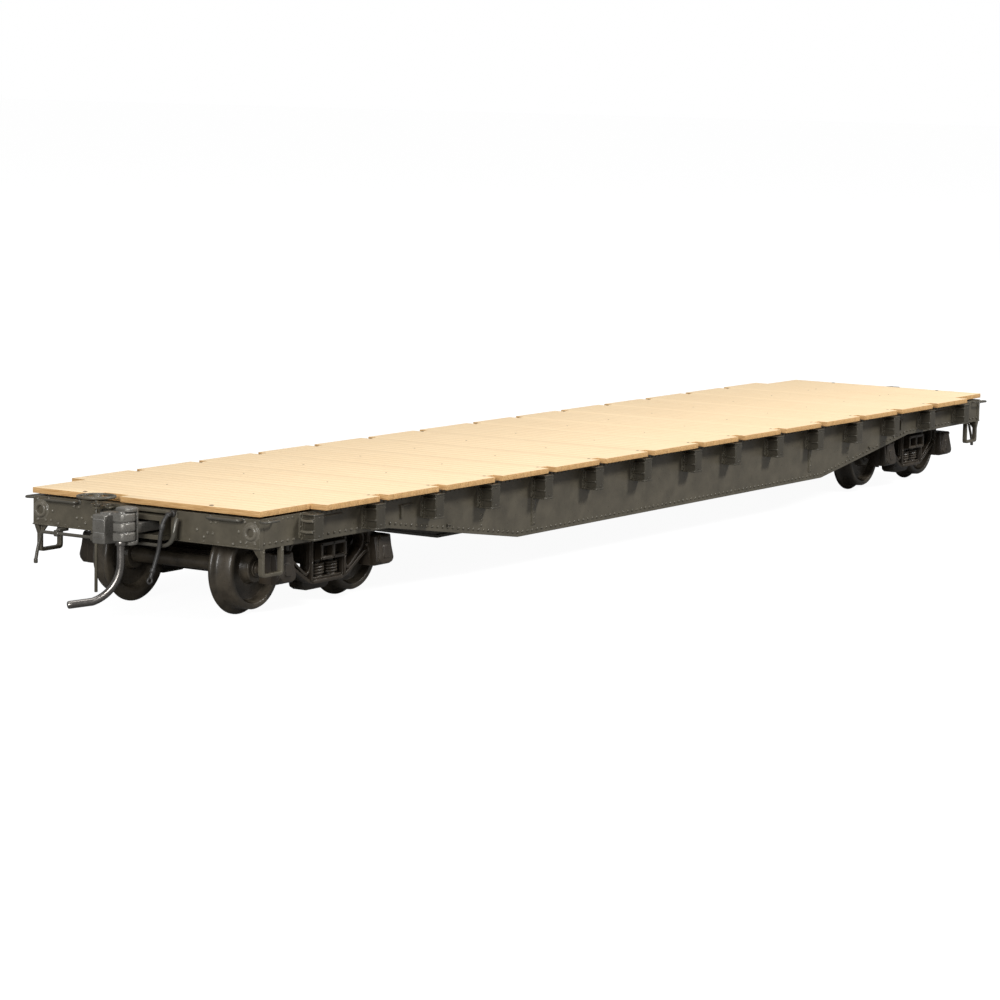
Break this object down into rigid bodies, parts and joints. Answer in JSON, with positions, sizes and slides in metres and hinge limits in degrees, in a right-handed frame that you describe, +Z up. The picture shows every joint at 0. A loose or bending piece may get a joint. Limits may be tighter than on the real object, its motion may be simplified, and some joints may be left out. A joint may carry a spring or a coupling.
{
  "type": "model flat car",
  "caption": "HO-scale model of a steel fishbelly flat car: plank deck on side sills with stake pockets, swivelling trucks, rolling wheelsets, swinging knuckle couplers and a hand brake.",
  "frame": {"origin": "midway along and across the car, at the lowest point of the wheel flanges", "axes": "X along the car with the brake-wheel end at -X, Y across, Z up"},
  "size_m": [0.2086, 0.037, 0.0136],
  "materials": {
    "deck_tan": "matt light tan, plank grooves",
    "frame_olive": "satin dark olive grey",
    "truck_black": "satin brown black",
    "hose_black": "satin black",
    "wheel_dark": "dark, slightly polished tread",
    "coupler_metal": "dark cast metal, worn edges",
    "pin_steel": "dull bare steel wire",
    "steel": "plain steel"
  },
  "bodies": {
    "car_body": {"deck": "deck_tan", "body_frame": "frame_olive", "weight_plate": "steel", "centre_sill": "frame_olive", "air_reservoir": "frame_olive", "brake_cylinder": "frame_olive", "control_valve": "frame_olive", "brake_bracket": "frame_olive", "coupler_box_a": "frame_olive", "coupler_lid_a": "frame_olive", "coupler_screw_a": "steel", "kingpin_screw_a": "steel", "cut_lever_a": "frame_olive", "air_hose_a": "hose_black", "step_a_left": "frame_olive", "step_a_right": "frame_olive", "end_grab_a_left": "frame_olive", "end_grab_a_right": "frame_olive", "coupler_box_b": "frame_olive", "coupler_lid_b": "frame_olive", "coupler_screw_b": "steel", "kingpin_screw_b": "steel", "cut_lever_b": "frame_olive", "air_hose_b": "hose_black", "step_b_left": "frame_olive", "step_b_right": "frame_olive", "end_grab_b_left": "frame_olive", "end_grab_b_right": "frame_olive"},
    "hand_brake": {"brake_wheel": "frame_olive", "brake_staff": "frame_olive"},
    "truck_a": {"truck_bolster_a": "truck_black", "side_frame_a_left": "truck_black", "side_frame_a_right": "truck_black", "spring_nest_a_left": "truck_black", "spring_nest_a_right": "truck_black", "spring_plank_a": "truck_black"},
    "wheelset_a1": {"axle_a1": "wheel_dark", "wheel_a1_left": "wheel_dark", "wheel_a1_right": "wheel_dark"},
    "wheelset_a2": {"axle_a2": "wheel_dark", "wheel_a2_left": "wheel_dark", "wheel_a2_right": "wheel_dark"},
    "coupler_a": {"coupler_shank_a": "coupler_metal"},
    "coupler_knuckle_a": {"knuckle_a": "coupler_metal", "trip_pin_a": "pin_steel"},
    "truck_b": {"truck_bolster_b": "truck_black", "side_frame_b_left": "truck_black", "side_frame_b_right": "truck_black", "spring_nest_b_left": "truck_black", "spring_nest_b_right": "truck_black", "spring_plank_b": "truck_black"},
    "wheelset_b1": {"axle_b1": "wheel_dark", "wheel_b1_left": "wheel_dark", "wheel_b1_right": "wheel_dark"},
    "wheelset_b2": {"axle_b2": "wheel_dark", "wheel_b2_left": "wheel_dark", "wheel_b2_right": "wheel_dark"},
    "coupler_b": {"coupler_shank_b": "coupler_metal"},
    "coupler_knuckle_b": {"knuckle_b": "coupler_metal", "trip_pin_b": "pin_steel"}
  },
  "joints": [
    {"name": "truck_a_swivel", "type": "hinge", "parent": "car_body", "child": "truck_a", "pos_m": [-0.0762, 0, 0.0089], "axis": [0, 0, 1], "range_deg": [-12, 12]},
    {"name": "wheelset_a1_roll", "type": "hinge", "parent": "truck_a", "child": "wheelset_a1", "pos_m": [-0.08585, 0, 0.00547], "axis": [0, 1, 0], "continuous": true},
    {"name": "wheelset_a2_roll", "type": "hinge", "parent": "truck_a", "child": "wheelset_a2", "pos_m": [-0.06655, 0, 0.00547], "axis": [0, 1, 0], "continuous": true},
    {"name": "coupler_a_swing", "type": "hinge", "parent": "car_body", "child": "coupler_a", "pos_m": [-0.0882, 0, 0.01035], "axis": [0, 0, 1], "range_deg": [-12, 12]},
    {"name": "knuckle_a_open", "type": "hinge", "parent": "coupler_a", "child": "coupler_knuckle_a", "pos_m": [-0.0983, -0.0014, 0.0107], "axis": [0, 0, 1], "range_deg": [0, 25]},
    {"name": "truck_b_swivel", "type": "hinge", "parent": "car_body", "child": "truck_b", "pos_m": [0.0762, 0, 0.0089], "axis": [0, 0, 1], "range_deg": [-12, 12]},
    {"name": "wheelset_b1_roll", "type": "hinge", "parent": "truck_b", "child": "wheelset_b1", "pos_m": [0.06655, 0, 0.00547], "axis": [0, 1, 0], "continuous": true},
    {"name": "wheelset_b2_roll", "type": "hinge", "parent": "truck_b", "child": "wheelset_b2", "pos_m": [0.08585, 0, 0.00547], "axis": [0, 1, 0], "continuous": true},
    {"name": "coupler_b_swing", "type": "hinge", "parent": "car_body", "child": "coupler_b", "pos_m": [0.0882, 0, 0.01035], "axis": [0, 0, 1], "range_deg": [-12, 12]},
    {"name": "knuckle_b_open", "type": "hinge", "parent": "coupler_b", "child": "coupler_knuckle_b", "pos_m": [0.0983, 0.0014, 0.0107], "axis": [0, 0, 1], "range_deg": [0, 25]},
    {"name": "brake_wheel_turn", "type": "hinge", "parent": "car_body", "child": "hand_brake", "pos_m": [-0.0956, 0.0052, 0.0136], "axis": [0, 0, 1], "continuous": true}
  ]
}
